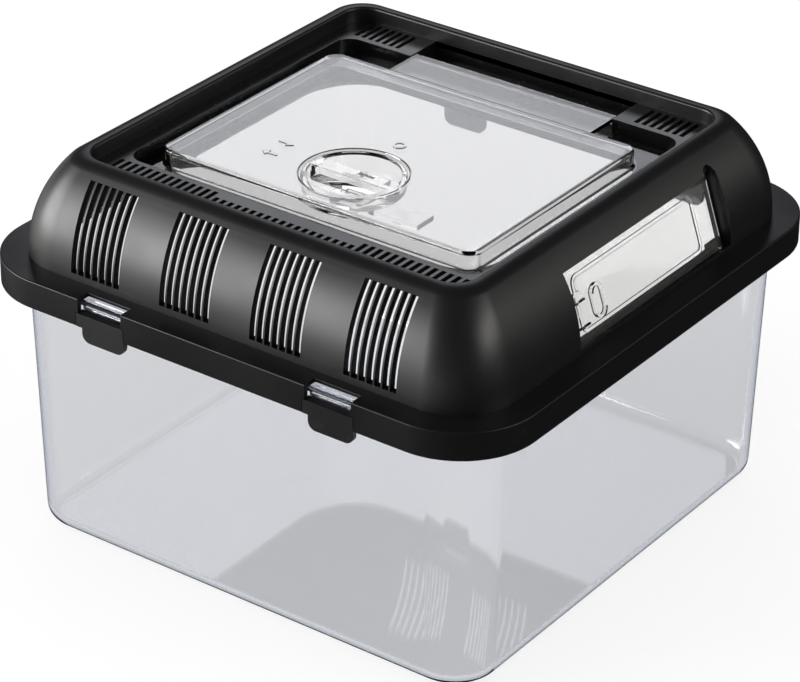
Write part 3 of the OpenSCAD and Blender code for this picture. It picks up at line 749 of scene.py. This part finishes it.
lockLook = {
    "apart": 0.12,  # faces that touch are drawn this far apart, or clear plastic turns black there
    "x": -0.5, "y": -27.7, "r": 18.1, "rim": 1.6, "rimThick": 1.0, "rimRound": 0.4, "wellDepth": 5.4, "wellIn": 1.0,
    "grip": 6.5, "floor": 1.6, "cupOut": 0.5, "gap": 0.3, "tongueReach": 28.3, "tongueWidth": 9, "tongueThick": 1.8,
    "tongueZ": 120.8, "hub": 8, "peg": 6, "pegFoot": 0.9, "pegTop": 0.8, "bevel": 0.45, "camBevel": 0.3,
    "footRound": 1.0, "footMiddle": 0.3, "far": 30, "deep": 10,
}


def makeDoor():
    n, k = doorLook, lockLook
    base, top, corner, thick = deckLook["ledge"], n["top"], n["corner"], n["thick"]

    def ring(grow, z, r):
        return [(x, y, z) for x, y in ringPoints(-n["x"] - grow, n["x"] + grow, n["y0"] - grow, n["y1"] + grow, r, 8)]

    def flange(z):
        return [(x, y, z) for x, y in ringPoints(
            -n["flangeX"], n["flangeX"], n["flangeY0"], n["flangeY1"], n["flangeCorner"], 8
        )]

    shelf, foot = base + n["flangeThick"], n["foot"]
    rings = [ring(g, z, corner + g) for g, z in arc(-n["edge"], top - n["edge"], n["edge"], 90, 0, 4)]
    rings += [ring(g, z, corner + g) for g, z in arc(foot, shelf + foot, foot, 180, 270, 3)]
    rings += [flange(shelf), flange(base)]
    rings.append(ring(-thick, base, corner - thick))
    rings.append(ring(-thick, top - thick - n["innerUp"], corner - thick))
    rings.append(ring(-thick - n["innerIn"], top - thick, corner - thick - n["innerIn"]))
    door = loft("topDoor", rings)
    cup = k["r"] - k["rim"] + k["cupOut"] + k["gap"]
    carve(door, disc("hole", k["x"], k["y"], cup, top - n["holeDeep"], top + past))
    carve(door, disc("seat", k["x"], k["y"], k["r"] + k["gap"], top - k["rimThick"] - k["apart"], top + past))
    hy, hz = deckLook["hingeY"], deckLook["hingeZ"]
    plateTop = hz + n["barrel"]
    carve(door, block(
        "tab", (-n["tab"], n["y1"] - n["tabIn"], plateTop - n["tabThick"]), (n["tab"], hy, plateTop - nudge)
    ), "UNION")
    barrelEnd = n["tab"] + n["barrelOver"]
    for name, end, r, steps in (("barrel", barrelEnd, n["barrel"], 32), ("pin", n["pinEnd"], n["pin"], 24)):
        carve(door, rod(name, (-end, hy, hz), (end, hy, hz), r, steps), "UNION")
    ringX, ringY = n["ringAt"]
    ringUp = disc("ringUp", ringX, ringY, n["ringOut"], top - n["ringBury"], top + n["markUp"], 32)
    carve(ringUp, disc("dip", ringX, ringY, n["ringIn"], top - n["dip"], top + past, 32))
    carve(door, ringUp, "UNION")
    for x, y, way in n["arrows"]:
        carve(door, makeArrow(x, y, way), "UNION")
    return soften(door, n["bevel"], 2, 38)


def makeArrow(x, y, way):
    n = doorLook
    heights = (n["top"] - n["arrowBury"], n["top"] + n["markUp"])
    return loft("arrow", [[(x + a * way, y + b, z) for a, b in n["arrow"]] for z in heights])


door = makeDoor()
finish(door, doorMat, "top_door", "top_door")
print("pet keeper: door", len(door.data.polygons))


def makeKnob():
    n = lockLook
    x, y, top = n["x"], n["y"], doorLook["top"]
    cup = n["r"] - n["rim"] + n["cupOut"]
    under = top - n["rimThick"]
    low = top - n["wellDepth"] - n["floor"]
    steps = 96
    foot, middle = n["footRound"], n["footMiddle"]
    line = [(cup - foot, low), (cup - middle, low + middle), (cup, low + foot), (cup, under), (n["r"], under)]
    line += arc(n["r"] - n["rimRound"], top - n["rimRound"], n["rimRound"], 0, 90, 3)
    turns = [2 * math.pi * k / steps for k in range(steps)]
    knob = loft("lockKnob", [[(x + r * math.cos(t), y + r * math.sin(t), z) for t in turns] for r, z in line])
    for way in (-1, 1):
        half = disc("well", x, y, n["r"] - n["rim"] - n["wellIn"], top - n["wellDepth"], top + past, 72)
        # the grip bar and its other side stay out of the cutter
        keep = block(
            "keep", (x - n["far"], y - n["far"] * way, top - n["deep"]),
            (x + n["far"], y + way * n["grip"] / 2, top + 3 * past),
        )
        carve(half, outward(keep))
        carve(knob, half)
    peg = n["peg"] / 2
    carve(knob, block(
        "peg", (x - peg, y - peg, n["tongueZ"] + n["pegFoot"]), (x + peg, y + peg, low + n["pegTop"])
    ), "UNION")
    return soften(knob, n["bevel"], 3, 38)


knob = makeKnob()
finish(knob, lockMat, "lock", "lock_knob")


def makeCam():
    n = lockLook
    x, y, z = n["x"], n["y"], n["tongueZ"]
    low = doorLook["top"] - n["wellDepth"] - n["floor"]
    cam = disc("lockCam", x, y, n["hub"], z, low - n["apart"], 48)
    half = n["tongueWidth"] / 2
    tongue = block("tongue", (x, y - half, z + nudge), (x + n["tongueReach"], y + half, z + n["tongueThick"]))
    carve(cam, tongue, "UNION")
    peg = n["peg"] / 2 + n["apart"]
    carve(cam, block("hole", (x - peg, y - peg, z - n["deep"]), (x + peg, y + peg, z + n["deep"])))
    return soften(cam, n["camBevel"], 2)


cam = makeCam()
finish(cam, lockMat, "lock", "lock_cam")
print("pet keeper: lock", len(knob.data.polygons) + len(cam.data.polygons))

# clear side hatch, built in a frame that leans with it
sheetLook = {
    "gap": 0.4, "endGap": 1.6, "beadWidth": 1.2, "beadHeight": 0.6, "beadIn": 3.0, "beadHinge": 10.7, "beadR": 3.0,
    "snapLong": 8.4, "slit": 0.6, "toothHalf": 2.5, "toothOut": 0.6, "toothIn": 0.5, "pinShorter": 0.3,
    "pullIn": 10.4, "pullWide": 6.5, "pullFoot": 4.8, "pullLong": 11.5, "pullUp": 1.4, "pullWall": 1.0,
    "pullRound": 0.1, "stopWide": 3.0, "stopUp": 1.0, "bevel": 0.2,
}


def standing(name, y0, y1, z0, z1, r, x0, x1):
    # rounded plate in the hatch's own frame, where x goes through the sheet
    return loft(name, [[(x, y, z) for y, z in ringPoints(y0, y1, z0, z1, r, 8)] for x in (x0, x1)])


def frameAround(name, y0, y1, z0, z1, r, wall, x0, x1):
    plate = standing(name, y0, y1, z0, z1, r, x0, x1)
    return carve(plate, standing(
        "inside", y0 + wall, y1 - wall, z0 + wall, z1 - wall, r - wall, x0 - past, x1 + past
    ))


def makeHatch():
    n, h = sheetLook, hatchLook
    t, pinY = h["thick"], h["pinY"]
    high = h["height"] - 2 * n["gap"]
    y0 = h["y0"] + n["endGap"]
    sheet = block("sideHatch", (-t, y0, 0), (0, pinY, high))
    b = n["beadIn"]
    carve(sheet, frameAround(
        "bead", y0 + b, pinY - n["beadHinge"], b, high - b, n["beadR"], n["beadWidth"], -t / 2, n["beadHeight"]
    ), "UNION")
    # the snap is a tongue between two slits, with a tooth at its end
    snapTop = h["snapFoot"] + h["snapWide"]
    for z in (h["snapFoot"] - n["slit"], snapTop):
        carve(sheet, block("slit", (-t - past, y0 - past, z), (2 * past, y0 + n["snapLong"], z + n["slit"])))
    barrel = rod("barrel", (-t / 2, pinY, nudge), (-t / 2, pinY, high - nudge), t / 2 - nudge)
    carve(sheet, barrel, "UNION")
    long = h["pinLong"] - n["pinShorter"]
    pin = rod(
        "pin", (-t / 2, pinY, h["low"] - long), (-t / 2, pinY, h["low"] + h["height"] + long + h["pinUp"]), h["pinR"]
    )
    carve(sheet, pin, "UNION")
    mid = (h["snapFoot"] + snapTop) / 2
    carve(sheet, block(
        "tooth", (-t * 0.75, h["y0"] - n["toothOut"], mid - n["toothHalf"]),
        (-t * 0.25, y0 + n["toothIn"], mid + n["toothHalf"]),
    ), "UNION")
    wide = n["stopWide"]
    stopY, stopZ = y0 + n["snapLong"] - 2 * wide, snapTop + 2 * n["slit"]
    carve(sheet, block("stop", (-t / 2, stopY, stopZ), (n["stopUp"], stopY + wide, stopZ + wide)), "UNION")
    pullY, pullZ = y0 + n["pullIn"], n["pullFoot"]
    carve(sheet, frameAround(
        "pull", pullY, pullY + n["pullWide"], pullZ, pullZ + n["pullLong"], n["pullWide"] / 2 - n["pullRound"],
        n["pullWall"], -t / 2, n["pullUp"],
    ), "UNION")
    sheet.data.transform(hatchPlace)
    return soften(sheet, n["bevel"], 2, 38)


hatch = makeHatch()
finish(hatch, hatchMat, "side_hatch", "side_hatch")
print("pet keeper: hatch", len(hatch.data.polygons))

# floor, world, lamps and camera
stageLook = {
    "floorWhite": 0.85, "glow": 0.8, "size": 9.0, "under": -0.05, "worldGrey": 0.85,
    # painted shade: what is seen through the clear plastic, a floor painted darker away from the tank's centre
    "throughClear": 0.95, "throughFar": 0.12, "worldClear": 0.22, "clearCentre": (0, 0.1, 0), "clearFrom": 0.4,
    "clearTo": 0.8,
    # painted reflection: what the black plastic mirrors, a floor painted dark near the object (painted shade) and lit
    # grey towards one side (painted light)
    "paintedShadeNear": 0.02, "litGrey": (1, 0.98, 0.94, 1), "worldMirror": (0.045, 0.045, 0.05, 1),
    "litWay": (-0.72, -0.69, 0), "litFrom": 0.24, "litTo": 0.4,
}


def greyTone(value):
    return (value, value, value, 1)


def blend(factor, first, second):
    return Sock.node(
        "ShaderNodeMix", {"data_type": "RGBA"}, {"Factor": factor, "A": first, "B": second}, out=2
    )


def makeFloor():
    n = stageLook
    size = n["size"]
    corners = ((-size, -size), (size, -size), (size, size), (-size, size))
    floor = meshObject("floor", [(x / mm, y / mm, n["under"]) for x, y in corners], [(0, 1, 2, 3)])
    mat = bpy.data.materials.new("paleFloor")
    mat.use_nodes = True
    mat.node_tree.nodes.clear()
    Sock.tree = mat.node_tree
    path = mat.node_tree.nodes.new("ShaderNodeLightPath")
    behindClear = Sock(path.outputs["Is Transmission Ray"])
    # a ray through rough clear plastic counts as glossy too, so those are taken out
    inMirror = Sock(path.outputs["Is Glossy Ray"]) * (1.0 - behindClear)
    place = Sock.node("ShaderNodeTexCoord", out=3)
    # painted reflection: mirror rays see the floor painted dark near the object and lit grey beyond it
    lit = Sock.node(
        "ShaderNodeVectorMath", {"operation": "DOT_PRODUCT"}, {0: place, 1: n["litWay"]}, out=1
    ).clipped(n["litFrom"], n["litTo"], 0.0, 1.0)
    paintedReflection = blend(lit, greyTone(n["paintedShadeNear"]), n["litGrey"])
    # painted shade: through clear plastic the floor is painted darker away from the tank's centre
    paintedShadeAway = Sock.node(
        "ShaderNodeVectorMath", {"operation": "DISTANCE"}, {0: place, 1: n["clearCentre"]}, out=1
    ).clipped(n["clearFrom"], n["clearTo"], 0.0, 1.0)
    pale = blend(behindClear, greyTone(1.0), blend(paintedShadeAway, greyTone(n["throughClear"]), greyTone(n["throughFar"])))
    glow = Sock.node("ShaderNodeEmission", values={"Color": blend(inMirror, pale, paintedReflection), "Strength": 1.0})
    seen = Sock(path.outputs["Is Camera Ray"]).maths("MAXIMUM", behindClear) * n["glow"]
    diffuse = Sock.node("ShaderNodeBsdfDiffuse", values={"Color": greyTone(n["floorWhite"])})
    mixed = Sock.node("ShaderNodeMixShader", values={0: seen.maths("MAXIMUM", inMirror), 1: diffuse, 2: glow})
    output = mat.node_tree.nodes.new("ShaderNodeOutputMaterial")
    mat.node_tree.links.new(mixed.socket, output.inputs["Surface"])
    floor.data.materials.append(mat)


makeFloor()


def makeWorld():
    n = stageLook
    world = bpy.data.worlds.new("studio")
    scene.world = world
    world.use_nodes = True
    world.node_tree.nodes.clear()
    Sock.tree = world.node_tree
    path = world.node_tree.nodes.new("ShaderNodeLightPath")
    colour = blend(Sock(path.outputs["Is Camera Ray"]), greyTone(n["worldGrey"]), greyTone(1.0))
    colour = blend(Sock(path.outputs["Is Glossy Ray"]), colour, n["worldMirror"])
    colour = blend(Sock(path.outputs["Is Transmission Ray"]), colour, greyTone(n["worldClear"]))
    back = Sock.node("ShaderNodeBackground", values={"Color": colour, "Strength": 1.0})
    output = world.node_tree.nodes.new("ShaderNodeOutputWorld")
    world.node_tree.links.new(back.socket, output.inputs["Surface"])


makeWorld()

lampLook = {
    # name: place, target, width, height, watts, colour
    "frontLeft": ((-1.16, -0.95, 0.36), (0, -0.03, 0.115), 1.25, 0.72, 37, (1, 1, 1)),
    "right": ((1.33, 0.3, 0.76), (0, 0, 0.115), 1.1, 0.5, 9.0, (1, 0.985, 0.95)),
    "rightBack": ((1.01, 1.21, 0.4), (0, 0, 0.115), 0.7, 0.5, 0.8, (1, 0.98, 0.93)),
    "backTop": ((-0.858, 1.139, 0.858), (0, 0, 0.132), 0.64, 0.42, 1.6, (0.93, 0.95, 1)),
}


def makeLamps():
    for name, (place, target, width, height, watts, colour) in lampLook.items():
        data = bpy.data.lights.new(name, "AREA")
        data.shape = "RECTANGLE"
        data.size, data.size_y = width, height
        data.energy = watts
        data.color = colour
        lamp = bpy.data.objects.new(name, data)
        scene.collection.objects.link(lamp)
        lamp.location = place
        lamp.rotation_euler = (Vector(target) - Vector(place)).to_track_quat("-Z", "Y").to_euler()


makeLamps()

cameraLook = {
    "place": (0.593535, -0.825536, 0.628204), "turn": (60.71866, -0.52334, 36.08345), "lens": 156.025, "sensor": 36,
}
cameraData = bpy.data.cameras.new("camera")
cameraData.lens = cameraLook["lens"]
cameraData.sensor_width = cameraLook["sensor"]
camera = bpy.data.objects.new("camera", cameraData)
scene.collection.objects.link(camera)
camera.location = cameraLook["place"]
camera.rotation_euler = [math.radians(a) for a in cameraLook["turn"]]
scene.camera = camera

scene.view_settings.view_transform = "Standard"

print("pet keeper: stage set")
